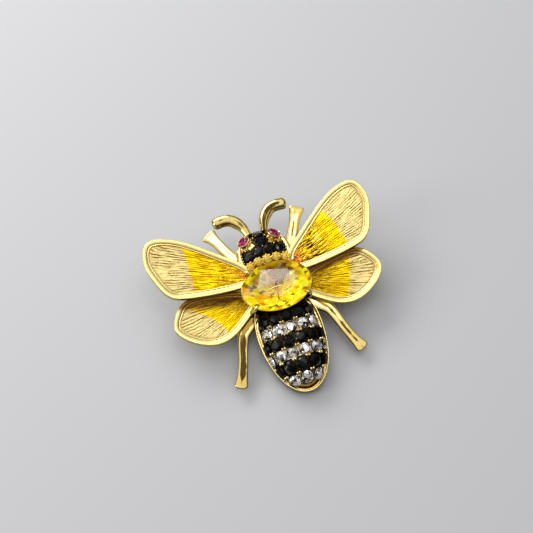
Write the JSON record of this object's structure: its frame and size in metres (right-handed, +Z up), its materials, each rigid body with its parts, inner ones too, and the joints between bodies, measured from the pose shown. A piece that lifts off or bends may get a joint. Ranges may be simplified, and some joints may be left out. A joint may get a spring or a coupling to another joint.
{
  "type": "insect brooch",
  "caption": "Bee brooch with a gilt body, striped wings with yellow enamel, an oval yellow stone and rows of black and clear round stones.",
  "frame": {"origin": "middle of the box at its lowest plane, the surface on which the brooch lies", "axes": "+X across the wings towards the bee's right as seen from above, +Y towards the head, +Z upwards out of the surface"},
  "size_m": [0.0374, 0.0311, 0.0091],
  "materials": {
    "gilt": "pale gilt, satin on the wings, polished on body and legs",
    "gilt_back": "pale gilt, plain",
    "yellow_enamel": "translucent yellow enamel over fine ridges",
    "citrine_glass": "faceted yellow glass",
    "clear_glass": "faceted clear glass with a mirrored back",
    "black_glass": "faceted opaque black glass",
    "fuchsia_glass": "faceted pink glass with a mirrored back"
  },
  "bodies": {
    "root": {"frame": "gilt", "pin": "gilt_back", "gem": "citrine_glass", "enamel_fore_left": "yellow_enamel", "enamel_hind_left": "yellow_enamel", "enamel_fore_right": "yellow_enamel", "enamel_hind_right": "yellow_enamel", "eye_left": "fuchsia_glass", "eye_right": "fuchsia_glass", "head_stone_1": "black_glass", "head_stone_2": "black_glass", "head_stone_3": "black_glass", "head_stone_4": "black_glass", "head_stone_5": "black_glass", "head_stone_6": "black_glass", "stone_1_1": "black_glass", "stone_1_2": "black_glass", "stone_1_3": "black_glass", "stone_1_4": "black_glass", "stone_1_5": "black_glass", "stone_2_1": "clear_glass", "stone_2_2": "clear_glass", "stone_2_3": "clear_glass", "stone_2_4": "clear_glass", "stone_2_5": "clear_glass", "stone_3_1": "black_glass", "stone_3_2": "black_glass", "stone_3_3": "black_glass", "stone_3_4": "black_glass", "stone_3_5": "black_glass", "stone_3_6": "black_glass", "stone_4_1": "clear_glass", "stone_4_2": "clear_glass", "stone_4_3": "clear_glass", "stone_4_4": "clear_glass", "stone_4_5": "clear_glass", "stone_4_6": "clear_glass", "stone_5_1": "black_glass", "stone_5_2": "black_glass", "stone_5_3": "black_glass", "stone_5_4": "black_glass", "stone_5_5": "black_glass", "stone_6_1": "clear_glass", "stone_6_2": "clear_glass", "stone_6_3": "clear_glass"}
  },
  "joints": []
}
